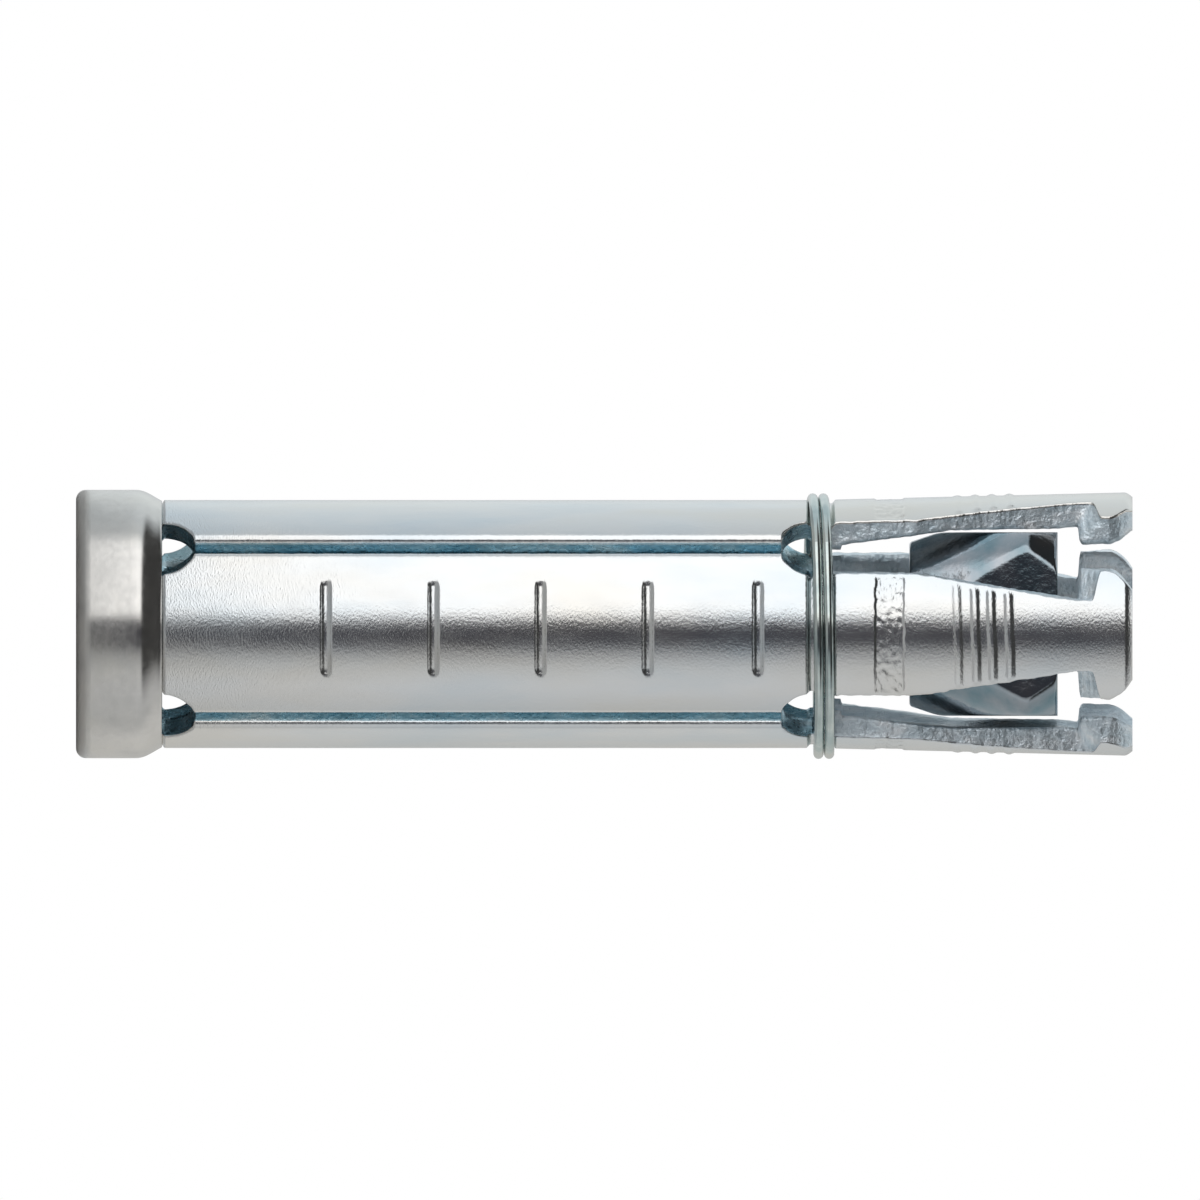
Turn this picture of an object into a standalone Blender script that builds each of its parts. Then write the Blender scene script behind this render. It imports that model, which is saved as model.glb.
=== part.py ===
"""Shield anchor for an M12 bolt, standing on its ferrule.

Origin: centre of the ferrule's flat face. +Z runs along the axis to the expanding end.
Four pressed quarter shells are held by a ferrule at the mouth and by a wire ring at the
fingers. A tapered nut lies between the fingers; drawn in, it spreads the shells.
"""

import math

import bmesh
import bpy
from mathutils import Matrix

MM = 0.001

# Whole anchor
SHIELD_LENGTH = 74.8 * MM
BODY_RADIUS = 8.78 * MM
WALL = 1.65 * MM
SEAT_GAP = 0.3 * MM
SEGMENTS = 4
TURN_STEPS = 72

# Ferrule
FERRULE_LENGTH = 6.1 * MM
FERRULE_WALL = 0.89 * MM
FERRULE_BASE = 1.0 * MM
FERRULE_HOLE_RADIUS = 6.75 * MM
FERRULE_CORNER = 0.7 * MM
SHOULDER_LENGTH = 1.85 * MM
LIP_WALL = 0.4 * MM

# Shield segment: neck in the ferrule, seams and corner notches
SEAM_GAP = 0.42 * MM
SEAM_LEAN = math.radians(18)
SEAM_LEAN_DEPTH = 1.2 * MM
EDGE_ROUND = 0.4 * MM
NECK_STEP = 0.43 * MM
FOOT_LIP = 0.26 * MM
JOGGLE_LENGTH = 1.4 * MM
NOTCH_RADIUS = 2.3 * MM

# Shield segment: tapered finger with its T-head, lengths measured from the finger's root
FINGER_LENGTH = 22.6 * MM
FINGER_WIDTH = 8.64 * MM
FINGER_FLARE = 0.55 * MM
TAPER_START = 7.3 * MM
NECK_WIDTH = 5.0 * MM
HEAD_WIDTH = 9.1 * MM
HEAD_LENGTH = 3.9 * MM
HEAD_SHOULDER = 0.36 * MM
HEAD_FLARE = 2.4 * MM
HEAD_FLARE_SLOPE = math.radians(48)
HEAD_FLARE_HOLLOW = 1.4
HEAD_CORNER = 1.3 * MM
HEAD_CORNER_WIDTH = 2.3 * MM
TIP_CHAMFER = 0.5 * MM
TIP_CHAMFER_LENGTH = 0.9 * MM

# Shield segment: grip ribs across the finger
RIB_COUNT = 3
RIB_START = 10.9 * MM
RIB_PITCH = 1.25 * MM
RIB_WIDTH = 0.8 * MM
RIB_HEIGHT = 0.13 * MM

# Wire ring of two turns, in a groove at the fingers' root
WIRE_DIAMETER = 0.7 * MM
RING_TURNS = 2
RING_PITCH = 0.75 * MM
RING_OFFSET = 0.55 * MM
GROOVE_DEPTH = 0.3 * MM
RING_POINTS_A_TURN = 48

# Cone nut, its radii measured from its flats, and its wall from a flat in to the thread
NUT_LENGTH = 10.5 * MM
NUT_TO_HEAD = 1.4 * MM
NUT_TURN = math.radians(5.6)
NUT_RIDGE_HEIGHT = 8.3 * MM
NUT_NOSE_HEIGHT = 1.5 * MM
NUT_MOUTH_STEP = -0.7 * MM
NUT_NOSE_STEP = -0.2 * MM
NUT_RIDGE_STEP = 2.0 * MM
NUT_END_STEP = 1.1 * MM
NUT_PLAY = 0.55 * MM
NUT_WALL = 1.35 * MM
THREAD_CHAMFER = 0.4 * MM

# Planed seat inside each finger, where the nut's flat lies
SEAT_DEPTH = 1.73 * MM
RAMP_START = 2.8 * MM
RAMP_DEPTH = 1.2 * MM
RAMP_LENGTH = 7.0 * MM
SEAT_RUNOUT = 0.8 * MM

# Radii that follow from the ones above
NECK_RADIUS = BODY_RADIUS - NECK_STEP - SEAT_GAP
FOOT_RADIUS = NECK_RADIUS + FOOT_LIP
FERRULE_RADIUS = FOOT_RADIUS + SEAT_GAP + FERRULE_WALL
INNER_RADIUS = BODY_RADIUS - WALL
SEAT_DISTANCE = BODY_RADIUS - SEAT_DEPTH
NUT_FLAT_DISTANCE = SEAT_DISTANCE - NUT_PLAY
THREAD_RADIUS = NUT_FLAT_DISTANCE - NUT_WALL
RING_RADIUS = BODY_RADIUS - GROOVE_DEPTH + SEAT_GAP + WIRE_DIAMETER / 2

# Heights that follow from the ones above
BODY_START = FERRULE_LENGTH + SEAT_GAP
FINGER_START = SHIELD_LENGTH - FINGER_LENGTH
HEAD_START = SHIELD_LENGTH - HEAD_LENGTH
RING_MIDDLE = FINGER_START + RING_OFFSET
RING_HEIGHT = RING_TURNS * RING_PITCH + WIRE_DIAMETER
NUT_END = HEAD_START - NUT_TO_HEAD
NUT_START = NUT_END - NUT_LENGTH

# How far cutters reach past what they cut
CUT_MARGIN = 2.0 * MM
REACH = FERRULE_RADIUS + CUT_MARGIN


def clear_scene():
    for obj in list(bpy.data.objects):
        bpy.data.objects.remove(obj, do_unlink=True)


def new_collection(name):
    collection = bpy.data.collections.new(name)
    bpy.context.scene.collection.children.link(collection)
    return collection


def material(name, colour, metallic, roughness):
    made = bpy.data.materials.new(name)
    made.use_nodes = True
    shader = made.node_tree.nodes["Principled BSDF"]
    shader.inputs["Base Color"].default_value = (*colour, 1.0)
    shader.inputs["Metallic"].default_value = metallic
    shader.inputs["Roughness"].default_value = roughness
    return made


def new_object(name, data, collection):
    obj = bpy.data.objects.new(name, data)
    collection.objects.link(obj)
    return obj


def finish_part(obj, finish):
    """Round faces are shaded smooth, edges over 30 degrees stay sharp."""
    obj.data.materials.clear()
    obj.data.materials.append(finish)
    obj.data.shade_smooth()
    obj.data.set_sharp_from_angle(angle=math.radians(30))


def turned(name, profile, collection):
    """A closed (radius, height) outline, turned once round Z with a Screw modifier."""
    mesh = bpy.data.meshes.new(name)
    points = [(radius, 0.0, height) for radius, height in profile]
    edges = [(i, (i + 1) % len(points)) for i in range(len(points))]
    mesh.from_pydata(points, edges, [])
    obj = new_object(name, mesh, collection)
    screw = obj.modifiers.new("turn", "SCREW")
    screw.axis = "Z"
    screw.angle = 2 * math.pi
    screw.steps = TURN_STEPS
    screw.render_steps = TURN_STEPS
    screw.use_merge_vertices = True
    screw.merge_threshold = 0.01 * MM
    return obj


def evaluated_mesh(obj):
    """The object's mesh as its modifiers leave it, with split caps welded."""
    graph = bpy.context.evaluated_depsgraph_get()
    mesh = bpy.data.meshes.new_from_object(obj.evaluated_get(graph))
    shape = bmesh.new()
    shape.from_mesh(mesh)
    bmesh.ops.remove_doubles(shape, verts=shape.verts, dist=0.001 * MM)
    shape.to_mesh(mesh)
    shape.free()
    return mesh


def as_cutter(obj):
    obj.hide_render = True
    obj.display_type = "WIRE"
    return obj


def prism(name, outline, half_depth, placing, collection):
    """A flat outline as a filled curve, extruded both ways along its own Z."""
    curve = bpy.data.curves.new(name, "CURVE")
    curve.dimensions = "2D"
    curve.fill_mode = "BOTH"
    curve.extrude = half_depth
    spline = curve.splines.new("POLY")
    spline.points.add(len(outline) - 1)
    for point, (x, y) in zip(spline.points, outline):
        point.co = (x, y, 0.0, 1.0)
    spline.use_cyclic_u = True
    drawn = new_object(name, curve, collection)
    bpy.context.view_layer.update()
    solid = new_object(name + "_solid", evaluated_mesh(drawn), collection)
    bpy.data.objects.remove(drawn, do_unlink=True)
    solid.name = name
    solid.matrix_world = placing
    return as_cutter(solid)


def boolean(obj, cutter, operation):
    modifier = obj.modifiers.new(cutter.name, "BOOLEAN")
    modifier.operation = operation
    modifier.solver = "EXACT"
    modifier.object = cutter


def arc(centre, radius, start, end, count):
    """Points on a circle, angles in degrees."""
    points = []
    for i in range(count + 1):
        angle = math.radians(start + (end - start) * i / count)
        points.append((centre[0] + radius * math.cos(angle), centre[1] + radius * math.sin(angle)))
    return points


def ferrule_profile():
    """Drawn cap: flat base with the bolt's hole, straight skirt, crimped shoulder."""
    skirt_top = FERRULE_LENGTH - SHOULDER_LENGTH
    lip_inner = NECK_RADIUS + SEAT_GAP
    lip_outer = lip_inner + LIP_WALL
    drop = FERRULE_RADIUS - lip_outer
    shoulder = [
        (lip_outer, FERRULE_LENGTH),
        (lip_outer + 0.30 * drop, skirt_top + 0.74 * SHOULDER_LENGTH),
        (lip_outer + 0.62 * drop, skirt_top + 0.46 * SHOULDER_LENGTH),
        (lip_outer + 0.88 * drop, skirt_top + 0.20 * SHOULDER_LENGTH),
        (FERRULE_RADIUS, skirt_top),
    ]
    corner_centre = (FERRULE_RADIUS - FERRULE_CORNER, FERRULE_CORNER)
    corner = arc(corner_centre, FERRULE_CORNER, 0, -90, 4)
    inside = [
        (FERRULE_HOLE_RADIUS, 0.0),
        (FERRULE_HOLE_RADIUS, FERRULE_BASE),
        (FERRULE_RADIUS - FERRULE_WALL, FERRULE_BASE),
        (FERRULE_RADIUS - FERRULE_WALL, skirt_top),
        (lip_inner, FERRULE_LENGTH),
    ]
    return shoulder + corner + inside


def rib_points(base_radius):
    """Three raised ribs on the finger, listed from the tip down."""
    points = []
    for i in reversed(range(RIB_COUNT)):
        middle = FINGER_START + RIB_START + i * RIB_PITCH
        for offset, height in ((0.5, 0.0), (0.25, RIB_HEIGHT), (-0.25, RIB_HEIGHT), (-0.5, 0.0)):
            z = middle + offset * RIB_WIDTH
            points.append((base_radius(z) + height, z))
    return points


def shell_profile():
    """Outer side from the tip down to the foot, then the inner side back up."""

    def flared(z):
        share = max(0.0, (z - FINGER_START) / FINGER_LENGTH)
        return BODY_RADIUS + FINGER_FLARE * share

    foot = FERRULE_BASE + SEAT_GAP
    foot_top = FERRULE_LENGTH - SHOULDER_LENGTH
    groove_top = RING_MIDDLE + RING_HEIGHT / 2 + SEAT_GAP
    groove_bottom = RING_MIDDLE - RING_HEIGHT / 2 - SEAT_GAP
    groove_radius = BODY_RADIUS - GROOVE_DEPTH
    chamfer_start = SHIELD_LENGTH - TIP_CHAMFER_LENGTH
    outside = [
        (flared(SHIELD_LENGTH) - TIP_CHAMFER, SHIELD_LENGTH),
        (flared(chamfer_start), chamfer_start),
        *rib_points(flared),
        (flared(groove_top), groove_top + GROOVE_DEPTH / 2),
        (groove_radius, groove_top),
        (groove_radius, groove_bottom),
        (BODY_RADIUS, groove_bottom - GROOVE_DEPTH / 2),
        (BODY_RADIUS, BODY_START + NECK_STEP / 2),
        (BODY_RADIUS - NECK_STEP / 2, BODY_START),
        (NECK_RADIUS, BODY_START),
        (FOOT_RADIUS, foot_top),
        (FOOT_RADIUS, foot),
    ]
    inside = [
        (FOOT_RADIUS - WALL, foot),
        (FOOT_RADIUS - WALL, BODY_START),
        (INNER_RADIUS, BODY_START + JOGGLE_LENGTH),
        (INNER_RADIUS, FINGER_START),
        (flared(SHIELD_LENGTH) - WALL, SHIELD_LENGTH),
    ]
    return outside + inside


def seam_sector():
    """Quarter sector about -Y; its sides lean apart outwards and are rounded off."""
    half_gap = SEAM_GAP / 2
    turn = math.pi / 2 - SEAM_LEAN
    wall_top = half_gap + (SEAM_LEAN_DEPTH - EDGE_ROUND) * math.tan(SEAM_LEAN)
    side = [(half_gap, CUT_MARGIN), (half_gap, BODY_RADIUS - SEAM_LEAN_DEPTH)]
    for share in (0.0, 0.4, 0.75):
        angle = SEAM_LEAN + share * turn
        inward = EDGE_ROUND * (math.cos(SEAM_LEAN) - math.cos(angle))
        rise = EDGE_ROUND * (math.sin(angle) - math.sin(SEAM_LEAN))
        side.append((wall_top + inward, BODY_RADIUS - EDGE_ROUND + rise))
    last_gap, last_radius = side[-1]
    side.append((last_gap + (REACH - last_radius) * math.tan(angle), REACH))
    seam_angle = math.pi / SEGMENTS
    right = []
    for gap, radius in side:
        x = radius * math.sin(seam_angle) - gap * math.cos(seam_angle)
        y = -radius * math.cos(seam_angle) - gap * math.sin(seam_angle)
        right.append((x, y))
    left = [(-x, y) for x, y in reversed(right)]
    return right + left


def finger_edge():
    """Half-width of the blank against height, from the corner notch to the tip."""
    half_body = BODY_RADIUS * math.sin(math.pi / SEGMENTS)
    half_finger = FINGER_WIDTH / 2
    half_neck = NECK_WIDTH / 2
    half_head = HEAD_WIDTH / 2
    notch = []
    for i in range(7):
        angle = math.radians(15 * i)
        x = half_body - (half_body - half_finger) * math.sin(angle)
        z = FINGER_START - NOTCH_RADIUS * math.cos(angle)
        notch.append((x, z))
    shoulder = [(half_neck, HEAD_START), (half_head, HEAD_START + HEAD_SHOULDER)]
    corner = []
    for i in range(4):
        angle = math.radians(30 * i)
        x = half_head - HEAD_CORNER_WIDTH * (1 - math.cos(angle))
        z = SHIELD_LENGTH - HEAD_CORNER * (1 - math.sin(angle))
        corner.append((x, z))
    past_tip = (half_head - HEAD_CORNER_WIDTH, SHIELD_LENGTH + CUT_MARGIN)
    taper = (half_finger, FINGER_START + TAPER_START)
    return notch + [taper] + shoulder + corner + [past_tip]


def flare_edge():
    """Hollow curve from the neck out to the head's arm, heights from the head's start."""
    rise = (HEAD_WIDTH - NECK_WIDTH) / 2
    curve = []
    for i in range(9):
        share = i / 8
        out = (share * share * (3 - 2 * share)) ** HEAD_FLARE_HOLLOW
        curve.append((NECK_WIDTH / 2 + out * rise, share * HEAD_FLARE))
    return curve


def flare_cutter(side, collection):
    """Slopes the head's shoulder from the outer face in and down towards the neck.

    The cutter narrows inwards and stops just short of the depth where it would vanish.
    """
    outline = flare_edge() + [(REACH, HEAD_FLARE), (REACH, 0.0)]
    outline = [(side * x, height) for x, height in outline]
    depth = HEAD_FLARE / math.tan(HEAD_FLARE_SLOPE)
    face = Matrix.Translation((0, -BODY_RADIUS - FINGER_FLARE, HEAD_START))
    lay = Matrix.Rotation(math.pi / 2, 4, "X")
    name = "head_flare_left" if side < 0 else "head_flare_right"
    cutter = prism(name, outline, 0.9 * depth, face @ lay, collection)
    for vert in cutter.data.vertices:
        vert.co.y *= 1 + vert.co.z / depth
    return cutter


def side_cutter(side, collection):
    """Everything beside one edge of the finger, cut through along the pressing way."""
    edge = finger_edge()
    outline = edge + [(REACH, edge[-1][1]), (REACH, edge[0][1])]
    outline = [(side * x, z) for x, z in outline]
    placing = Matrix.Translation((0, -REACH / 2, 0)) @ Matrix.Rotation(math.pi / 2, 4, "X")
    name = "finger_side_left" if side < 0 else "finger_side_right"
    return prism(name, outline, REACH / 2 - SEAT_GAP, placing, collection)


def notch_cutter(side, collection):
    """Round notch on the seam where the segment leaves the ferrule."""
    name = "mouth_notch_left" if side < 0 else "mouth_notch_right"
    mesh = bpy.data.meshes.new(name)
    shape = bmesh.new()
    bmesh.ops.create_cone(
        shape,
        cap_ends=True,
        segments=28,
        radius1=NOTCH_RADIUS,
        radius2=NOTCH_RADIUS,
        depth=REACH,
    )
    shape.to_mesh(mesh)
    shape.free()
    obj = new_object(name, mesh, collection)
    lean = Matrix.Rotation(side * math.pi / SEGMENTS, 4, "Z")
    lay = Matrix.Rotation(math.pi / 2, 4, "X")
    out = Matrix.Translation((0, -REACH / 2 - CUT_MARGIN, 0))
    obj.matrix_world = Matrix.Translation((0, 0, FERRULE_LENGTH)) @ lean @ out @ lay
    return as_cutter(obj)


def seat_cutter(collection):
    """Planed ramp and flat on the finger's inner side, where the nut's flat lies."""
    low = CUT_MARGIN
    ramp = FINGER_START + RAMP_START
    outline = [
        (low, ramp),
        (SEAT_DISTANCE - RAMP_DEPTH, ramp),
        (SEAT_DISTANCE, ramp + RAMP_LENGTH),
        (SEAT_DISTANCE, NUT_END + SEAT_RUNOUT),
        (low, NUT_END + SEAT_RUNOUT + RAMP_DEPTH),
    ]
    turn = Matrix(((0, 0, 1, 0), (-1, 0, 0, 0), (0, 1, 0, 0), (0, 0, 0, 1)))
    return prism("finger_seat", outline, FINGER_WIDTH, turn, collection)


def segment_mesh(cutters):
    """One pressed quarter shell, its middle towards -Y."""
    blank = turned("segment_blank", shell_profile(), cutters)
    height = Matrix.Translation((0, 0, SHIELD_LENGTH / 2))
    sector = prism("seam_sector", seam_sector(), SHIELD_LENGTH, height, cutters)
    boolean(blank, sector, "INTERSECT")
    for side in (-1, 1):
        boolean(blank, side_cutter(side, cutters), "DIFFERENCE")
        boolean(blank, notch_cutter(side, cutters), "DIFFERENCE")
        boolean(blank, flare_cutter(side, cutters), "DIFFERENCE")
    boolean(blank, seat_cutter(cutters), "DIFFERENCE")
    bpy.context.view_layer.update()
    mesh = evaluated_mesh(blank)
    mesh.name = "shield_segment"
    bpy.data.objects.remove(blank, do_unlink=True)
    return mesh


def add_segments(parts, cutters, finish):
    mesh = segment_mesh(cutters)
    quarter = 2 * math.pi / SEGMENTS
    for i, place in enumerate(("front", "bottom", "back", "top")):
        obj = new_object("shield_segment_" + place, mesh, parts)
        obj.rotation_euler = (0, 0, i * quarter)
        finish_part(obj, finish)


def add_ferrule(parts, finish):
    obj = turned("ferrule", ferrule_profile(), parts)
    finish_part(obj, finish)


def add_ring(parts, finish):
    """Two turns of round wire, its ends at the back."""
    curve = bpy.data.curves.new("wire_ring", "CURVE")
    curve.dimensions = "3D"
    curve.bevel_depth = WIRE_DIAMETER / 2
    curve.bevel_resolution = 2
    curve.use_fill_caps = True
    spline = curve.splines.new("POLY")
    steps = RING_TURNS * RING_POINTS_A_TURN
    spline.points.add(steps)
    for i, point in enumerate(spline.points):
        angle = 2 * math.pi * i / RING_POINTS_A_TURN + math.pi / 2
        z = RING_MIDDLE + RING_PITCH * (i / RING_POINTS_A_TURN - RING_TURNS / 2)
        point.co = (RING_RADIUS * math.cos(angle), RING_RADIUS * math.sin(angle), z, 1.0)
    obj = new_object("wire_ring", curve, parts)
    curve.materials.append(finish)
    return obj


def nut_profile():
    """Tapered nut: blunt nose, widest at the ridge, back-tapered to its end, then its bore."""
    mouth_radius = THREAD_RADIUS + THREAD_CHAMFER
    return [
        (NUT_FLAT_DISTANCE + NUT_END_STEP, NUT_END),
        (NUT_FLAT_DISTANCE + NUT_RIDGE_STEP, NUT_START + NUT_RIDGE_HEIGHT),
        (NUT_FLAT_DISTANCE + NUT_NOSE_STEP, NUT_START + NUT_NOSE_HEIGHT),
        (NUT_FLAT_DISTANCE + NUT_MOUTH_STEP, NUT_START),
        (mouth_radius, NUT_START),
        (THREAD_RADIUS, NUT_START + THREAD_CHAMFER),
        (THREAD_RADIUS, NUT_END - THREAD_CHAMFER),
        (mouth_radius, NUT_END),
    ]


def add_nut(parts, cutters, finish):
    """The nut lies in its play, turned a little towards the top segment."""
    nut = turned("cone_nut", nut_profile(), parts)
    half_height = NUT_LENGTH / 2 + CUT_MARGIN
    outline = [
        (-REACH, NUT_FLAT_DISTANCE),
        (REACH, NUT_FLAT_DISTANCE),
        (REACH, REACH + CUT_MARGIN),
        (-REACH, REACH + CUT_MARGIN),
    ]
    middle = Matrix.Translation((0, 0, NUT_START + NUT_LENGTH / 2))
    for i in range(SEGMENTS):
        turn = Matrix.Rotation(2 * math.pi * i / SEGMENTS - NUT_TURN, 4, "Z")
        flat = prism(f"nut_flat_{i + 1}", outline, half_height, middle @ turn, cutters)
        boolean(nut, flat, "DIFFERENCE")
    finish_part(nut, finish)


def main():
    clear_scene()
    parts = new_collection("shield_anchor")
    cutters = new_collection("cutters")
    zinc = material("bright_zinc_plate", (0.62, 0.64, 0.66), 1.0, 0.28)
    dull = material("dull_zinc_plate", (0.50, 0.48, 0.45), 1.0, 0.42)
    wire = material("spring_wire", (0.55, 0.60, 0.58), 1.0, 0.18)
    dark = material("polished_nut", (0.40, 0.42, 0.44), 1.0, 0.14)
    add_ferrule(parts, dull)
    add_segments(parts, cutters, zinc)
    add_ring(parts, wire)
    add_nut(parts, cutters, dark)


main()
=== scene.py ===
"""Looks of a zinc-plated shield anchor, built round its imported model.

Four pressed shells carry grip ribs, a coined patch and torn edges, and the front one has
stamped bars. A wire ring of two turns, a threaded cone nut and a drawn ferrule go with
them. Lengths are in millimetres and become metres in the meshes.
"""

import math

import bmesh
import bpy
from mathutils import Matrix, Vector, noise


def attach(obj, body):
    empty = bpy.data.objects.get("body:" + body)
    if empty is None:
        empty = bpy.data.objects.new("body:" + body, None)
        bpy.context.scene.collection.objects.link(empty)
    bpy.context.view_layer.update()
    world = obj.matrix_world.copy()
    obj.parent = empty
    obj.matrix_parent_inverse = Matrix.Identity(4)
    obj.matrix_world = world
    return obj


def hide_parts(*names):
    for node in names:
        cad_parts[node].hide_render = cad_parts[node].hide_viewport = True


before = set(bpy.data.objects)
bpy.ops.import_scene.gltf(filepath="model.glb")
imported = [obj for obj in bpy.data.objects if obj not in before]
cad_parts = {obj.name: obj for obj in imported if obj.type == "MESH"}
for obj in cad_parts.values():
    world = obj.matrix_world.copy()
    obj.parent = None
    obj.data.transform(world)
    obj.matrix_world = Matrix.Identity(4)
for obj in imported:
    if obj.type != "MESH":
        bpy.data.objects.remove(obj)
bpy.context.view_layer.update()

MM = 0.001

# Shells
LENGTH = 74.8
BODY_RADIUS = 8.78
WALL = 1.65
SEAM_GAP = 0.42
SEAM_LEAN = math.radians(18)
SEAM_LEAN_DEPTH = 1.2
SEAM_ROUND = 0.5
CUT_ROUND = 0.16
FOOT_START = 1.3
NECK_RADIUS = 8.05
FOOT_RADIUS = 8.31
FERRULE_LENGTH = 6.1
BODY_START = 6.16
BORE_STEP_START = 6.4
BORE_STEP_END = 7.8
NOTCH_RADIUS = 2.3
SEGMENT_TURN = {"front": 0, "bottom": 90, "back": 180, "top": 270}

# Fingers
FINGER_START = 52.2
FINGER_WIDTH = 8.64
FINGER_FLARE = 0.55
TAPER_START = 59.5
NECK_WIDTH = 5.0
HEAD_START = 70.9
HEAD_WIDTH = 9.1
HEAD_CORNER = 1.7
HEAD_CORNER_WIDTH = 1.4
HEAD_CORNER_POWER = 1.8
SHOULDER_SLANT = 1.15
SHOULDER_SLANT_DEPTH = 1.25
SHOULDER_RISE = 0.2
SHOULDER_FACE_RISE = 0.75
TIP_CHAMFER = 0.34
TIP_CHAMFER_LENGTH = 0.55
SEAT_DISTANCE = 7.05
SEAT_START = 54.2
SEAT_RAMP = 7.8
SEAT_DEPTH = 1.0
SEAT_END = 70.3

# Marks pressed into the shells: the bars on one only, the ribs as (place, height) on all
MARKED_SHELL = "front"
BAR_PLACES = (17.7, 25.3, 32.9, 40.5, 48.3)
BAR_WIDTH = 0.78
BAR_DEPTH = 0.20
BAR_POWER = 0.7
BAR_LENGTH = 6.8
BAR_SHIFT = -0.54
RIB_PLACES = ((62.42, 0.08), (63.68, 0.11), (64.85, 0.12), (66.08, 0.12))
RIB_HALF = 0.42
PATCH_START = 56.6
PATCH_END = 58.6
PATCH_DEPTH = 0.09

# Wire ring, hanging down a little towards the bottom shell and leaning a little forward
WIRE_RADIUS = 0.36
RING_RADIUS = 9.05
RING_SAG = 0.15
RING_LEAN = 0.2
RING_MIDDLE = 52.75
RING_PITCH = 0.75
RING_TURNS = 2
GROOVE_DEPTH = 0.26
GROOVE_HALF = 0.95

# Cone nut
NUT_START = 59.0
NUT_END = 69.5
NUT_TURN = math.radians(5.6)
NUT_NOSE = 60.5
NUT_RIDGE = 67.3
NUT_MOUTH_RADIUS = 5.8
NUT_NOSE_RADIUS = 6.3
NUT_RIDGE_RADIUS = 8.5
NUT_END_RADIUS = 7.6
NUT_FLAT = 6.5
NUT_EDGE_BLEND = 0.16
NUT_NOSE_ROUND = 0.2
NUT_END_ROUND = 0.3
THREAD_MINOR = 5.15
THREAD_CHAMFER = 0.4
THREAD_DEPTH = 0.85
THREAD_PITCH = 1.75

# Ferrule
FERRULE_RADIUS = 9.5
FERRULE_HOLE = 6.75
FERRULE_BASE = 1.0
FERRULE_CORNER = 0.7
SKIRT_TOP = 4.25
FERRULE_LIP = 8.75
FERRULE_INNER = 8.61
LIP_INNER = 8.35


def mix(a, b, share):
    return a + (b - a) * share


def step(low, high, value):
    """Smooth step from 0 at low to 1 at high."""
    share = min(1.0, max(0.0, (value - low) / (high - low)))
    return share * share * (3 - 2 * share)


def rough(x, y, z, size, seed=0.0):
    """Smooth noise, about -1 to 1, with lumps of the given size in millimetres."""
    return noise.noise(Vector((x / size + seed, y / size - seed, z / size + 2 * seed)))


def new_mesh_object(name, points, faces):
    mesh = bpy.data.meshes.new(name)
    mesh.from_pydata([Vector(p) * MM for p in points], [], faces)
    mesh.validate()
    shape = bmesh.new()
    shape.from_mesh(mesh)
    bmesh.ops.recalc_face_normals(shape, faces=shape.faces)
    shape.to_mesh(mesh)
    shape.free()
    mesh.shade_smooth()
    obj = bpy.data.objects.new(name, mesh)
    bpy.context.scene.collection.objects.link(obj)
    return obj


def loft(name, loops, closed=False):
    """Quads between closed loops of points; the ends get a cap, or meet if closed."""
    count = len(loops[0])
    points = [point for loop in loops for point in loop]
    faces = []
    rows = len(loops) if closed else len(loops) - 1
    for j in range(rows):
        here = j * count
        there = (j + 1) % len(loops) * count
        for i in range(count):
            k = (i + 1) % count
            faces.append((here + i, here + k, there + k, there + i))
    if not closed:
        faces.append(tuple(range(count - 1, -1, -1)))
        faces.append(tuple(range(len(points) - count, len(points))))
    return new_mesh_object(name, points, faces)


# Shell outline: half-widths along the arc or straight across, against height


def notch_gap(z):
    """Distance from the seam's middle to the shell's edge in the body, in millimetres."""
    gap = SEAM_GAP / 2
    reach = NOTCH_RADIUS**2 - (z - FERRULE_LENGTH) ** 2
    if reach > 0:
        gap = max(gap, math.sqrt(reach))
    start = FINGER_START - NOTCH_RADIUS
    if z > start:
        lean = math.acos(min(1.0, (FINGER_START - z) / NOTCH_RADIUS))
        body_half = BODY_RADIUS * math.sin(math.pi / 4)
        half = body_half - (body_half - FINGER_WIDTH / 2) * math.sin(lean)
        gap = max(gap, BODY_RADIUS * (math.pi / 4 - math.asin(half / BODY_RADIUS)))
    return gap


def finger_half(z, depth):
    """Half-width of the finger; the head's shoulder slants from the outer face in and down."""
    if z < TAPER_START:
        return FINGER_WIDTH / 2
    share = min(1.0, (z - TAPER_START) / (HEAD_START - TAPER_START))
    half = mix(FINGER_WIDTH, NECK_WIDTH, share) / 2
    outward = 1 - min(1.0, depth / SHOULDER_SLANT_DEPTH)
    shoulder = HEAD_START + SHOULDER_SLANT * outward
    rise = mix(SHOULDER_RISE, SHOULDER_FACE_RISE, outward)
    half = mix(half, HEAD_WIDTH / 2, step(shoulder, shoulder + rise, z))
    corner = z - (LENGTH - HEAD_CORNER)
    if corner > 0:
        share = min(1.0, corner / HEAD_CORNER)
        half -= HEAD_CORNER_WIDTH * share**HEAD_CORNER_POWER
    return half


def outer_radius(z):
    flare = FINGER_FLARE * max(0.0, (z - FINGER_START) / (LENGTH - FINGER_START))
    radius = BODY_RADIUS + flare
    if z < BODY_START + 0.1:
        radius = mix(NECK_RADIUS, radius, step(BODY_START - 0.03, BODY_START + 0.1, z))
        foot = FOOT_RADIUS - NECK_RADIUS
        radius += foot * (1 - step(SKIRT_TOP, BODY_START, z))
    groove = abs(z - RING_MIDDLE)
    radius -= GROOVE_DEPTH * (1 - step(GROOVE_HALF - 0.2, GROOVE_HALF + 0.1, groove))
    tip = z - (LENGTH - TIP_CHAMFER_LENGTH)
    if tip > 0:
        radius -= TIP_CHAMFER * (tip / TIP_CHAMFER_LENGTH) ** 1.5
    return radius


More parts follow.
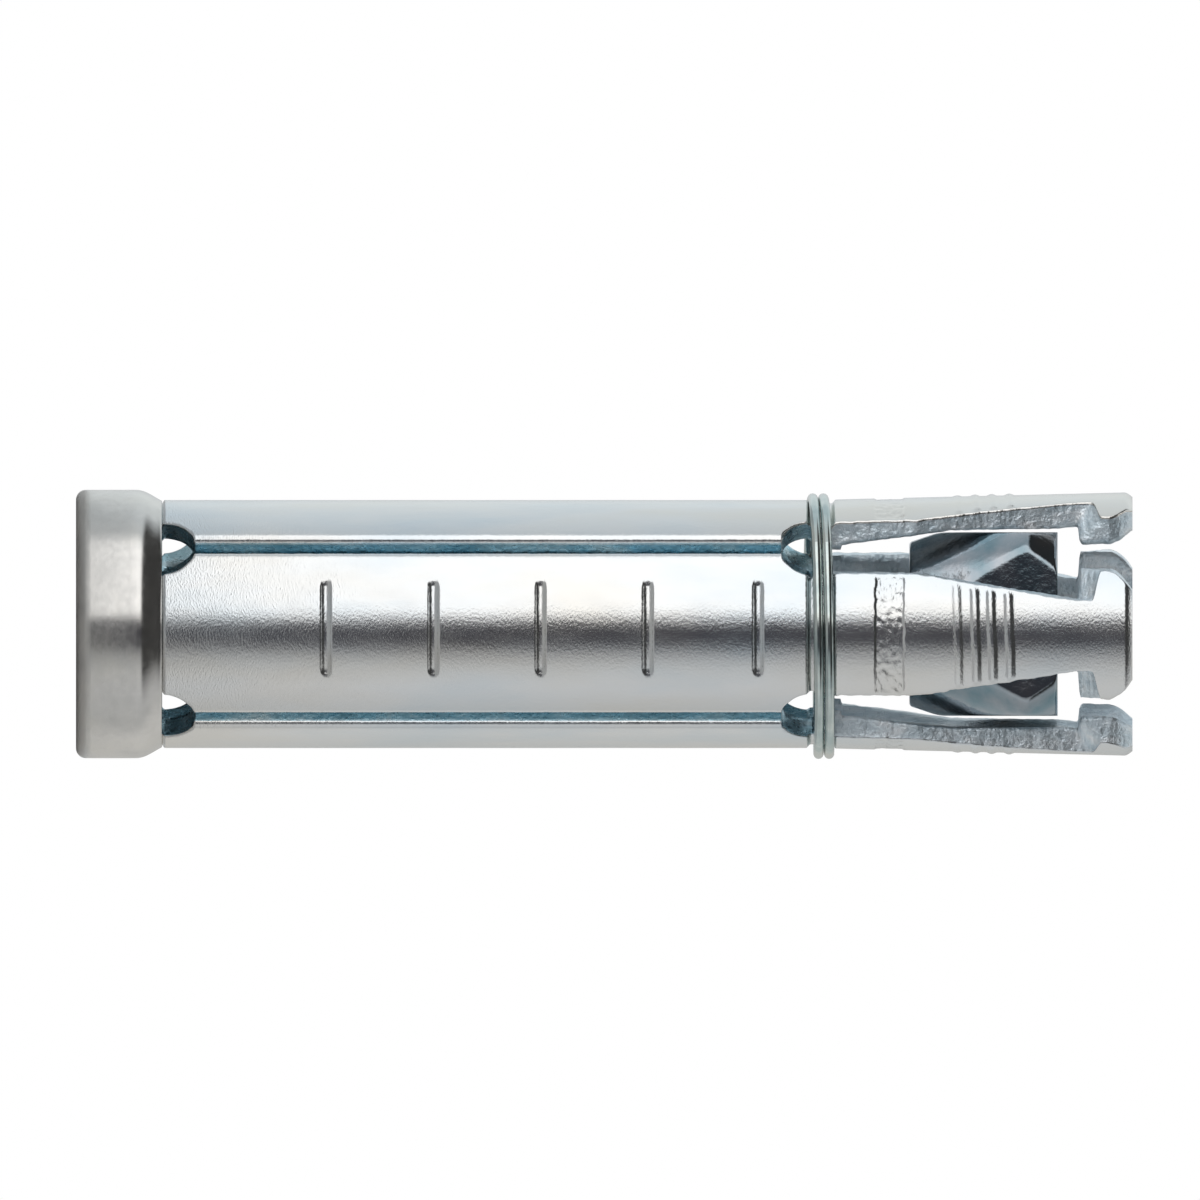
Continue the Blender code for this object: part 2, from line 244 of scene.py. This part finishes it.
def inner_radius(z):
    flare = FINGER_FLARE * max(0.0, (z - FINGER_START) / (LENGTH - FINGER_START))
    widened = step(BORE_STEP_START, BORE_STEP_END, z)
    return mix(FOOT_RADIUS - WALL, BODY_RADIUS - WALL + flare, widened)


def seat_plane(z):
    """Distance from the axis of the planed seat inside the finger, or None."""
    if z < SEAT_START or z > SEAT_END + SEAT_DEPTH:
        return None
    if z < SEAT_START + SEAT_RAMP:
        return SEAT_DISTANCE - SEAT_DEPTH * (1 - (z - SEAT_START) / SEAT_RAMP)
    return SEAT_DISTANCE - max(0.0, z - SEAT_END)


def pressed(across, z, seed, marked):
    """Height of the marks above the shell's round outer face, in millimetres."""
    height = 0.0
    for place in BAR_PLACES if marked else ():
        side = max(0.0, abs(across - BAR_SHIFT) - (BAR_LENGTH - BAR_WIDTH) / 2)
        away = math.hypot(side, z - place) / (BAR_WIDTH / 2)
        if away < 1:
            height -= BAR_DEPTH * (1 - away**2) ** BAR_POWER
    for place, tall in RIB_PLACES:
        wander = 0.05 * rough(across, 0, place, 2.0, seed)
        away = abs(z - place - wander - 0.03 * across) / RIB_HALF
        if away < 1:
            height += tall * (1 - away**2) ** 2
    if PATCH_START - 0.4 < z < PATCH_END + 0.4:
        ragged = 0.10 * rough(across, 0, z, 0.7, seed + 3)
        inside = step(PATCH_START - 0.06, PATCH_START + 0.06, z + ragged)
        inside *= 1 - step(PATCH_END - 0.08, PATCH_END + 0.08, z + ragged)
        coarse = rough(across, 3, z, 0.38, seed + 7) + 0.6 * rough(across, 5, z, 0.17, seed)
        ends = 0.35 + 0.65 * step(1.2, 3.6, abs(across))
        height -= inside * (PATCH_DEPTH - 0.075 * ends * coarse)
    return height


def shell_rows():
    """Heights of the shell's cross-sections, close together where a mark needs it."""

    def spacing(z):
        if z < BODY_START - 0.2:
            return 0.45
        if z < FERRULE_LENGTH + NOTCH_RADIUS + 0.1:
            return 0.08
        for place in BAR_PLACES:
            if abs(z - place + 0.2) < 0.8:
                return 0.07
        if abs(z - (FINGER_START - NOTCH_RADIUS)) < 0.25:
            return 0.025
        if z < FINGER_START - NOTCH_RADIUS:
            return 0.4
        if z < FINGER_START + 2.0:
            return 0.12
        if PATCH_START - 0.2 < z < PATCH_END + 0.2:
            return 0.085
        if RIB_PLACES[0][0] - 0.6 < z < RIB_PLACES[-1][0] + 0.6:
            return 0.075
        if z > HEAD_START - 0.6:
            return 0.10
        return 0.22

    rows = [FOOT_START]
    while rows[-1] < LENGTH - 0.04:
        rows.append(min(LENGTH, rows[-1] + spacing(rows[-1])))
    return rows


OUTER_COLUMNS = 60
WALL_ROWS = 5
INNER_COLUMNS = 16
ROUND_STEPS = 4


def shell_loop(z, seed, marked):
    """One closed cross-section, its middle towards -Y, from the left edge over the top."""
    radius = outer_radius(z)
    inner = inner_radius(z)
    seat = seat_plane(z)
    in_finger = z > FINGER_START
    low = FERRULE_LENGTH + NOTCH_RADIUS
    high = FINGER_START - NOTCH_RADIUS
    blend = step(low - 0.6, low + 0.1, z) * (1 - step(high - 0.1, high + 0.6, z))
    rounding = mix(CUT_ROUND, SEAM_ROUND, blend)
    tear = 0.035 + 0.05 * step(FINGER_START, FINGER_START + 1.5, z)

    def edge(side, depth):
        """Angle of the side wall at a depth under the outer face."""
        at = radius - depth
        ragged = tear * rough(side * 3, depth / 1.5, z, 0.55, seed + side)
        ragged += 0.4 * tear * rough(side * 5, depth, z, 0.2, seed)
        if in_finger:
            half = min(finger_half(z, depth), at * 0.95)
            return side * (math.asin(half / at) + ragged / at)
        lean = blend * max(0.0, SEAM_LEAN_DEPTH - depth) * math.tan(SEAM_LEAN)
        gap = max(notch_gap(z), SEAM_GAP / 2 + lean)
        if z < low or z > high:
            ragged *= 0.6
        return side * (math.pi / 4 - (gap + abs(ragged)) / at)

    def place(angle, at):
        return (at * math.sin(angle), -at * math.cos(angle), z)

    loop = []
    outer_half = []
    for side in (-1, 1):
        wall_angle = edge(side, rounding)
        outer_half.append(wall_angle - side * rounding / radius)
    wall_depth = WALL if not in_finger else radius - inner
    if seat is not None:
        wall_depth = min(wall_depth, radius - math.hypot(seat, finger_half(z, WALL)))
    for i in range(WALL_ROWS, 0, -1):
        depth = mix(rounding, wall_depth, i / WALL_ROWS)
        loop.append(place(edge(-1, depth), radius - depth))
    for i in range(ROUND_STEPS):
        turn = math.pi / 2 * i / ROUND_STEPS
        depth = rounding * (1 - math.sin(turn))
        angle = edge(-1, rounding) + rounding * (1 - math.cos(turn)) / radius
        loop.append(place(angle, radius - depth))
    for i in range(OUTER_COLUMNS + 1):
        share = i / OUTER_COLUMNS
        angle = mix(outer_half[0], outer_half[1], share)
        across = angle * radius
        fade = step(0.0, 0.05, min(share, 1 - share))
        height = fade * pressed(across, z, seed, marked) if z > BODY_START + 0.5 else 0.0
        swell = 0.006 * rough(across, 0, z, 5.0, seed)
        height += swell + 0.002 * rough(across, 0, z, 1.3, seed)
        loop.append(place(angle, radius + height))
    for i in range(ROUND_STEPS - 1, -1, -1):
        turn = math.pi / 2 * i / ROUND_STEPS
        depth = rounding * (1 - math.sin(turn))
        angle = edge(1, rounding) - rounding * (1 - math.cos(turn)) / radius
        loop.append(place(angle, radius - depth))
    for i in range(1, WALL_ROWS + 1):
        depth = mix(rounding, wall_depth, i / WALL_ROWS)
        loop.append(place(edge(1, depth), radius - depth))
    left = edge(-1, wall_depth)
    right = edge(1, wall_depth)
    for i in range(1, INNER_COLUMNS):
        angle = mix(right, left, i / INNER_COLUMNS)
        at = radius - wall_depth if not in_finger else inner
        if seat is not None:
            at = max(at, seat / math.cos(angle))
        loop.append(place(angle, at))
    return loop


def add_shell(name, seed):
    """One pressed quarter shell in place of its plain solid."""
    marked = name == MARKED_SHELL
    shell = loft("shell_" + name, [shell_loop(z, seed, marked) for z in shell_rows()])
    turn = Matrix.Rotation(math.radians(SEGMENT_TURN[name]), 4, "Z")
    shell.data.transform(turn)
    assign_cut_faces(shell)
    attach(shell, "segment_" + name)
    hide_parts("shield_segment_" + name)
    return shell


def assign_cut_faces(shell):
    """Side walls and inner face take the second slot, or the third on the finger."""
    shell.data.materials.append(zinc)
    shell.data.materials.append(cut_zinc)
    shell.data.materials.append(torn_zinc)
    count = 2 * WALL_ROWS + 2 * ROUND_STEPS + OUTER_COLUMNS + INNER_COLUMNS
    outer_first = WALL_ROWS + 1
    outer_last = WALL_ROWS + 2 * ROUND_STEPS + OUTER_COLUMNS
    for polygon in shell.data.polygons:
        corners = [v % count for v in polygon.vertices]
        cut = len(corners) > 4 or min(corners) < outer_first or max(corners) > outer_last
        on_finger = polygon.center.z > FINGER_START * MM
        polygon.material_index = (2 if on_finger else 1) if cut else 0


# Wire ring: each turn in four arcs, one on each shell, so that it opens with them

ARC_STEPS = 24
WIRE_SIDES = 14
PLUG_LENGTH = 2.2
PLUG_SHARE = 0.96


def ring_point(turns):
    """Middle of the wire after so many turns from its end at the back."""
    angle = 2 * math.pi * turns + math.pi / 2
    x = RING_RADIUS * math.cos(angle) + RING_SAG
    z = RING_MIDDLE + RING_PITCH * (turns - RING_TURNS / 2) - RING_LEAN * math.sin(angle)
    return Vector((x, RING_RADIUS * math.sin(angle), z))


def wire_loop(turns, radius):
    middle = ring_point(turns)
    ahead = (ring_point(turns + 0.001) - ring_point(turns - 0.001)).normalized()
    out = Vector((middle.x, middle.y, 0)).normalized()
    up = ahead.cross(out).normalized()
    loop = []
    for i in range(WIRE_SIDES):
        angle = 2 * math.pi * i / WIRE_SIDES
        loop.append(middle + radius * (math.cos(angle) * out + math.sin(angle) * up))
    return loop


def arc_sections(start, end, plugged):
    """(turns, radius) along one arc, with a thinner plug past each end if plugged."""
    sections = []
    plug = PLUG_LENGTH / (2 * math.pi * RING_RADIUS)
    thin = WIRE_RADIUS * PLUG_SHARE
    if plugged[0]:
        sections += [(mix(start - plug, start, i / 4), thin) for i in range(4)]
        sections.append((start, thin))
    sections += [(mix(start, end, i / ARC_STEPS), WIRE_RADIUS) for i in range(ARC_STEPS + 1)]
    if plugged[1]:
        sections.append((end, thin))
        sections += [(mix(end, end + plug, i / 4), thin) for i in range(1, 5)]
    return sections


def add_ring():
    """Quarter arcs: the wire starts at the back, between the back arc's two halves."""
    cuts = [0.0, 0.125, 0.375, 0.625, 0.875, 1.125, 1.375, 1.625, 1.875, 2.0]
    owners = ["back", "top", "front", "bottom", "back", "top", "front", "bottom", "back"]
    for i, owner in enumerate(owners):
        carries_plugs = owner in ("front", "back")
        plugged = (carries_plugs and i > 0, carries_plugs and i < len(owners) - 1)
        loops = [wire_loop(t, r) for t, r in arc_sections(cuts[i], cuts[i + 1], plugged)]
        piece = loft(f"wire_arc_{i + 1}_{owner}", loops)
        piece.data.set_sharp_from_angle(angle=math.radians(30))
        piece.data.materials.append(wire)
        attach(piece, "segment_" + owner)
        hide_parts("wire_ring")


# Cone nut: a cone with four flats whose edges are softly rounded, and its thread

NUT_COLUMNS = 288
THREAD_ROWS_A_TURN = 18


def soft_minimum(a, b, blend):
    share = min(1.0, max(0.0, 0.5 + 0.5 * (b - a) / blend))
    return mix(b, a, share) - blend * share * (1 - share)


def nut_cone(z):
    if z < NUT_NOSE:
        share = (z - NUT_START) / (NUT_NOSE - NUT_START)
        radius = mix(NUT_MOUTH_RADIUS, NUT_NOSE_RADIUS, share)
    elif z < NUT_RIDGE:
        share = (z - NUT_NOSE) / (NUT_RIDGE - NUT_NOSE)
        radius = mix(NUT_NOSE_RADIUS, NUT_RIDGE_RADIUS, share)
    else:
        share = (z - NUT_RIDGE) / (NUT_END - NUT_RIDGE)
        radius = mix(NUT_RIDGE_RADIUS, NUT_END_RADIUS, share)
    peak = 1 - step(0.0, 0.35, abs(z - NUT_RIDGE))
    radius -= 0.05 * peak
    for near, rounding in ((z - NUT_START, NUT_NOSE_ROUND), (NUT_END - z, NUT_END_ROUND)):
        if near < rounding:
            radius -= rounding - math.sqrt(max(0.0, rounding**2 - (rounding - near) ** 2))
    return radius


def nut_outer(angle, z):
    quarter = (angle + NUT_TURN + math.pi / 4) % (math.pi / 2) - math.pi / 4
    flat = NUT_FLAT / math.cos(quarter)
    radius = soft_minimum(nut_cone(z), flat, NUT_EDGE_BLEND)
    x = radius * math.cos(angle)
    y = radius * math.sin(angle)
    return radius + 0.006 * rough(x, y, z, 1.6) + 0.003 * rough(x, y, z, 0.5)


def thread_radius(angle, z):
    turn = (z / THREAD_PITCH - angle / (2 * math.pi)) % 1.0
    groove = max(0.0, 1 - abs(turn - 0.5) / 0.44)
    depth = THREAD_DEPTH * min(1.0, 1.12 * groove)
    fade = step(0.8, 3.0, z - NUT_START) * step(0.0, 0.5, NUT_END - z)
    mouth = max(0.0, THREAD_CHAMFER - min(z - NUT_START, NUT_END - z))
    return max(THREAD_MINOR + depth * fade, THREAD_MINOR + mouth)


def nut_rows():
    turns = [1 - math.cos(math.pi / 2 * i / 6) for i in range(6)]
    low = NUT_START + NUT_NOSE_ROUND
    high = NUT_END - NUT_END_ROUND
    rows = [NUT_START + NUT_NOSE_ROUND * turn for turn in turns]
    rows += [mix(low, high, i / 52) for i in range(53)]
    rows += [NUT_END - NUT_END_ROUND * turn for turn in reversed(turns)]
    return rows


def add_nut():
    angles = [2 * math.pi * i / NUT_COLUMNS for i in range(NUT_COLUMNS)]
    loops = []
    for z in nut_rows():
        loop = []
        for angle in angles:
            radius = nut_outer(angle, z)
            loop.append((radius * math.cos(angle), radius * math.sin(angle), z))
        loops.append(loop)
    for share in (0.25, 0.5, 0.75):
        loop = []
        for angle in angles:
            radius = mix(nut_outer(angle, NUT_END), thread_radius(angle, NUT_END), share)
            loop.append((radius * math.cos(angle), radius * math.sin(angle), NUT_END))
        loops.append(loop)
    count = int((NUT_END - NUT_START) / THREAD_PITCH * THREAD_ROWS_A_TURN)
    for j in range(count + 1):
        z = mix(NUT_END, NUT_START, j / count)
        loop = []
        for angle in angles:
            radius = thread_radius(angle, z)
            loop.append((radius * math.cos(angle), radius * math.sin(angle), z))
        loops.append(loop)
    nut = loft("threaded_cone_nut", loops, closed=True)
    nut.data.materials.append(polished)
    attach(nut, "nut")
    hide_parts("cone_nut")


# Ferrule: drawn cap, turned from its section

FERRULE_COLUMNS = 256
DRAW_LINE_HEIGHT = 0.002


def ferrule_section():
    """Closed (radius, height) section, from the lip down the outside and up the inside."""
    drop = FERRULE_RADIUS - FERRULE_LIP
    section = [(LIP_INNER, FERRULE_LENGTH - 0.1), (LIP_INNER + 0.1, FERRULE_LENGTH)]
    section.append((FERRULE_LIP - 0.08, FERRULE_LENGTH))
    for i in range(13):
        share = i / 12
        z = mix(FERRULE_LENGTH - 0.05, SKIRT_TOP, share)
        section.append((FERRULE_LIP + drop * math.sin(math.pi / 2 * share) ** 1.15, z))
    for i in range(1, 9):
        section.append((FERRULE_RADIUS, mix(SKIRT_TOP, FERRULE_CORNER, i / 9)))
    for i in range(9):
        turn = math.pi / 2 * i / 8
        reach = FERRULE_RADIUS - FERRULE_CORNER * (1 - math.cos(turn))
        section.append((reach, FERRULE_CORNER * (1 - math.sin(turn))))
    section += [(FERRULE_HOLE + 0.15, 0.0), (FERRULE_HOLE, 0.15)]
    section += [(FERRULE_HOLE, FERRULE_BASE - 0.1), (FERRULE_HOLE + 0.1, FERRULE_BASE)]
    section += [(FERRULE_INNER - 0.3, FERRULE_BASE), (FERRULE_INNER, FERRULE_BASE + 0.3)]
    section += [(FERRULE_INNER, SKIRT_TOP)]
    return section


def draw_line(angle):
    """Depth of the fine lines that the die leaves along the skirt."""
    x = 40 * math.cos(angle)
    y = 40 * math.sin(angle)
    fine = rough(x, y, 0, 1.6, 5) + 0.7 * rough(x, y, 0, 0.7, 9)
    return DRAW_LINE_HEIGHT * fine


def add_ferrule():
    angles = [2 * math.pi * i / FERRULE_COLUMNS for i in range(FERRULE_COLUMNS)]
    loops = []
    for radius, z in ferrule_section():
        on_skirt = step(0.8, 1.2, z) * (1 - step(4.0, 4.4, z)) * step(9.3, 9.45, radius)
        loop = []
        for angle in angles:
            reach = radius + on_skirt * draw_line(angle)
            dent = 0.008 * rough(radius * math.cos(angle), radius * math.sin(angle), z, 4.0)
            reach += dent * step(8.8, 9.2, radius)
            loop.append((reach * math.cos(angle), reach * math.sin(angle), z))
        loops.append(loop)
    ferrule = loft("drawn_ferrule", loops, closed=True)
    ferrule.data.materials.append(dull_zinc)
    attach(ferrule, "ferrule")
    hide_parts("ferrule")


# Materials


def new_material(name):
    made = bpy.data.materials.new(name)
    made.use_nodes = True
    return made, made.node_tree, made.node_tree.nodes["Principled BSDF"]


def noise_node(tree, coordinates, size, detail, stretch=(1, 1, 1)):
    """Noise with lumps of about size millimetres, stretched along an axis if asked."""
    mapping = tree.nodes.new("ShaderNodeMapping")
    mapping.inputs["Scale"].default_value = [1 / (size * MM * s) for s in stretch]
    tree.links.new(coordinates, mapping.inputs["Vector"])
    node = tree.nodes.new("ShaderNodeTexNoise")
    node.inputs["Scale"].default_value = 1.0
    node.inputs["Detail"].default_value = detail
    tree.links.new(mapping.outputs["Vector"], node.inputs["Vector"])
    return node.outputs["Fac"]


def ramp_node(tree, value, stops):
    node = tree.nodes.new("ShaderNodeValToRGB")
    elements = node.color_ramp.elements
    while len(elements) < len(stops):
        elements.new(0.5)
    for element, (position, colour) in zip(elements, stops):
        element.position = position
        element.color = (*colour, 1.0)
    tree.links.new(value, node.inputs["Fac"])
    return node.outputs["Color"]


def range_node(tree, value, low, high, from_low=0.3, from_high=0.7):
    node = tree.nodes.new("ShaderNodeMapRange")
    node.inputs["From Min"].default_value = from_low
    node.inputs["From Max"].default_value = from_high
    node.inputs["To Min"].default_value = low
    node.inputs["To Max"].default_value = high
    tree.links.new(value, node.inputs["Value"])
    return node.outputs["Result"]


def bump_node(tree, height, distance, normal=None):
    """Bump of about distance millimetres on top of another, if one is given."""
    node = tree.nodes.new("ShaderNodeBump")
    node.inputs["Strength"].default_value = 1.0
    node.inputs["Distance"].default_value = distance * MM
    tree.links.new(height, node.inputs["Height"])
    if normal is not None:
        tree.links.new(normal, node.inputs["Normal"])
    return node.outputs["Normal"]


def metal(name, stops, patch_size, roughness, bumps, stretch=(1, 1, 1)):
    """Plated metal: tinted patches, uneven gloss, bumps (size, height, stretch along Z)."""
    made, tree, shader = new_material(name)
    coordinates = tree.nodes.new("ShaderNodeTexCoord").outputs["Object"]
    shader.inputs["Metallic"].default_value = 1.0
    patches = noise_node(tree, coordinates, patch_size, 4.0, stretch)
    tree.links.new(ramp_node(tree, patches, stops), shader.inputs["Base Color"])
    gloss = noise_node(tree, coordinates, patch_size / 6, 5.0, stretch)
    tree.links.new(range_node(tree, gloss, *roughness), shader.inputs["Roughness"])
    normal = None
    for size, height, along in bumps:
        lumps = noise_node(tree, coordinates, size, 3.0, (1, 1, along))
        normal = bump_node(tree, lumps, height, normal)
    tree.links.new(normal, shader.inputs["Normal"])
    return made


zinc = metal(
    "bright_zinc_plate",
    [(0.30, (0.60, 0.66, 0.70)), (0.50, (0.70, 0.71, 0.71)), (0.70, (0.71, 0.69, 0.65))],
    6.0,
    (0.13, 0.22),
    [(0.20, 0.018, 0.6), (0.07, 0.003, 0.8)],
    (1, 1, 3),
)
cut_zinc = metal(
    "zinc_on_sheared_edges",
    [(0.30, (0.34, 0.52, 0.59)), (0.50, (0.45, 0.66, 0.75)), (0.72, (0.70, 0.78, 0.80))],
    1.6,
    (0.20, 0.38),
    [(0.30, 0.05, 1.0), (0.10, 0.012, 1.0)],
    (1, 1, 2),
)
torn_zinc = metal(
    "zinc_on_torn_finger_edges",
    [(0.30, (0.58, 0.68, 0.74)), (0.50, (0.74, 0.82, 0.87)), (0.72, (0.88, 0.91, 0.93))],
    1.2,
    (0.34, 0.56),
    [(0.34, 0.11, 1.0), (0.10, 0.020, 1.0)],
    (1, 1, 2),
)
dull_zinc = metal(
    "dull_drawn_zinc_plate",
    [(0.30, (0.58, 0.57, 0.55)), (0.50, (0.66, 0.645, 0.62)), (0.70, (0.70, 0.68, 0.64))],
    3.0,
    (0.15, 0.24),
    [(0.16, 0.0012, 30.0), (0.30, 0.002, 1.0)],
)
wire = metal(
    "spring_wire_plate",
    [(0.35, (0.42, 0.50, 0.50)), (0.55, (0.58, 0.64, 0.62)), (0.70, (0.62, 0.64, 0.60))],
    2.5,
    (0.10, 0.18),
    [(0.30, 0.004, 1.0), (0.08, 0.001, 1.0)],
)
# The nut's plate colour is set well below the shells': its own blue-grey tone, darkened as a
# painted dark reflection of the shaded space round it.
polished = metal(
    "polished_plate_with_painted_dark_reflection",
    [(0.32, (0.20, 0.29, 0.33)), (0.52, (0.36, 0.39, 0.42)), (0.70, (0.48, 0.47, 0.47))],
    3.5,
    (0.05, 0.11),
    [(0.35, 0.010, 1.0), (0.10, 0.002, 1.0)],
)


# Studio: camera, floor, soft dome and white surround

CAMERA_TURN = 5.6
MM_A_PIXEL = 0.0708
PHOTO_PIXELS = 1200
AIM_HEIGHT = 37.1
AIM_UP = 1.7
CAMERA_DISTANCE = 600.0


def add_camera():
    """Looks at the front shell along the horizon, with the anchor's axis to the right."""
    lean = math.radians(CAMERA_TURN)
    back = Vector((-math.sin(lean), -math.cos(lean), 0))
    right = Vector((0, 0, 1))
    up = back.cross(right)
    data = bpy.data.cameras.new("camera")
    data.type = "ORTHO"
    data.ortho_scale = PHOTO_PIXELS * MM_A_PIXEL * MM
    data.clip_start = 0.01
    data.clip_end = 10.0
    camera = bpy.data.objects.new("camera", data)
    bpy.context.scene.collection.objects.link(camera)
    place = (back * CAMERA_DISTANCE + up * AIM_UP + right * AIM_HEIGHT) * MM
    turn = Matrix((right, up, back)).transposed().to_4x4()
    camera.matrix_world = Matrix.Translation(place) @ turn
    bpy.context.scene.camera = camera


def seen_directly(tree):
    """1 on camera, glossy and transmission rays."""
    path = tree.nodes.new("ShaderNodeLightPath")
    first = tree.nodes.new("ShaderNodeMath")
    first.operation = "ADD"
    tree.links.new(path.outputs["Is Camera Ray"], first.inputs[0])
    tree.links.new(path.outputs["Is Glossy Ray"], first.inputs[1])
    second = tree.nodes.new("ShaderNodeMath")
    second.operation = "ADD"
    second.use_clamp = True
    tree.links.new(first.outputs[0], second.inputs[0])
    tree.links.new(path.outputs["Is Transmission Ray"], second.inputs[1])
    return second.outputs[0]


def add_world():
    world = bpy.data.worlds.new("white_surround")
    world.use_nodes = True
    bpy.context.scene.world = world
    tree = world.node_tree
    background = tree.nodes["Background"]
    background.inputs["Color"].default_value = (1.0, 1.0, 1.0, 1.0)
    strength = range_node(tree, seen_directly(tree), 0.6, 1.0, 0.0, 1.0)
    tree.links.new(strength, background.inputs["Strength"])


# The two radii are in metres. The bands are what the plating mirrors, by the direction it
# lies in: degrees round the anchor's axis from the camera, positive upwards in the
# picture, and its brightness
DOME_RADIUS = 0.45
FLOOR_RADIUS = 0.11
DOME_BANDS = [
    (-180, (0.50, 0.50, 0.49)),
    (-150, (0.62, 0.62, 0.60)),
    (-115, (0.74, 0.74, 0.73)),
    (-92, (0.56, 0.57, 0.57)),
    (-60, (0.70, 0.71, 0.72)),
    (-42, (0.64, 0.65, 0.65)),
    (-26, (0.38, 0.39, 0.40)),
    (-18, (0.07, 0.07, 0.08)),
    (2, (0.07, 0.07, 0.08)),
    (9, (1.45, 1.45, 1.45)),
    (72, (1.45, 1.46, 1.47)),
    (84, (0.62, 0.66, 0.69)),
    (110, (0.76, 0.82, 0.86)),
    (150, (0.86, 0.92, 0.94)),
    (180, (0.62, 0.63, 0.64)),
]

# Where the surround is dim, by that direction and by how far it tilts along the axis:
# -1 towards the ferrule's end, 1 towards the fingers' end
DIM_SIDES = [(-80, 0.0), (-45, 1.0), (105, 1.0), (125, 0.0)]
DIM_TILTS = [
    (-0.86, 0.0),
    (-0.80, 1.0),
    (-0.60, 1.0),
    (-0.46, 0.0),
    (0.38, 0.0),
    (0.50, 1.0),
    (0.93, 1.0),
    (0.98, 0.0),
]
DIM_LEVEL = 0.05


def math_node(tree, operation, first, second=None):
    node = tree.nodes.new("ShaderNodeMath")
    node.operation = operation
    tree.links.new(first, node.inputs[0])
    if second is not None:
        tree.links.new(second, node.inputs[1])
    return node.outputs[0]


def add_dome():
    """Soft studio round the anchor: a bright bank above the camera, which stays dark."""
    bpy.ops.mesh.primitive_uv_sphere_add(segments=64, ring_count=32, radius=DOME_RADIUS)
    dome = bpy.context.object
    dome.name = "studio_dome"
    dome.data.shade_smooth()
    dome.visible_camera = False
    dome.visible_shadow = False
    made, tree, shader = new_material("studio_light")
    tree.nodes.remove(shader)
    place = tree.nodes.new("ShaderNodeTexCoord").outputs["Object"]
    level = tree.nodes.new("ShaderNodeVectorMath")
    level.operation = "NORMALIZE"
    tree.links.new(place, level.inputs[0])
    turn = tree.nodes.new("ShaderNodeVectorRotate")
    turn.rotation_type = "Z_AXIS"
    turn.inputs["Angle"].default_value = math.radians(CAMERA_TURN)
    tree.links.new(level.outputs[0], turn.inputs["Vector"])
    axes = tree.nodes.new("ShaderNodeSeparateXYZ")
    tree.links.new(turn.outputs[0], axes.inputs[0])
    back = math_node(tree, "MULTIPLY", axes.outputs["Y"])
    back.node.inputs[1].default_value = -1.0
    up = math_node(tree, "MULTIPLY", axes.outputs["X"])
    up.node.inputs[1].default_value = -1.0
    angle = math_node(tree, "ARCTAN2", up, back)
    turned = range_node(tree, angle, 0.0, 1.0, -math.pi, math.pi)
    tilt = range_node(tree, axes.outputs["Z"], 0.0, 1.0, -1.0, 1.0)
    bands = ramp_node(tree, turned, [(0.5 + a / 360, c) for a, c in DOME_BANDS])
    sides = ramp_node(tree, turned, [(0.5 + a / 360, (v, v, v)) for a, v in DIM_SIDES])
    tilts = ramp_node(tree, tilt, [(0.5 + t / 2, (v, v, v)) for t, v in DIM_TILTS])
    share = math_node(tree, "MULTIPLY", sides, tilts)
    dimmed = tree.nodes.new("ShaderNodeMix")
    dimmed.data_type = "RGBA"
    dimmed.inputs["B"].default_value = (DIM_LEVEL, DIM_LEVEL, DIM_LEVEL, 1.0)
    tree.links.new(share, dimmed.inputs["Factor"])
    tree.links.new(bands, dimmed.inputs["A"])
    glow = tree.nodes.new("ShaderNodeEmission")
    tree.links.new(dimmed.outputs["Result"], glow.inputs["Color"])
    tree.links.new(glow.outputs[0], tree.nodes["Material Output"].inputs["Surface"])
    dome.data.materials.append(made)


def add_floor():
    bpy.ops.mesh.primitive_circle_add(vertices=96, radius=FLOOR_RADIUS, fill_type="NGON")
    floor = bpy.context.object
    floor.name = "floor"
    made, _, shader = new_material("pale_floor")
    shader.inputs["Base Color"].default_value = (0.9, 0.9, 0.9, 1.0)
    shader.inputs["Roughness"].default_value = 0.9
    floor.data.materials.append(made)


add_camera()
for index, shell_name in enumerate(SEGMENT_TURN):
    add_shell(shell_name, 11.0 + 17.0 * index)
add_ring()
add_nut()
add_ferrule()
add_world()
add_dome()
add_floor()
bpy.context.scene.view_settings.view_transform = "Standard"

bpy.context.view_layer.update()
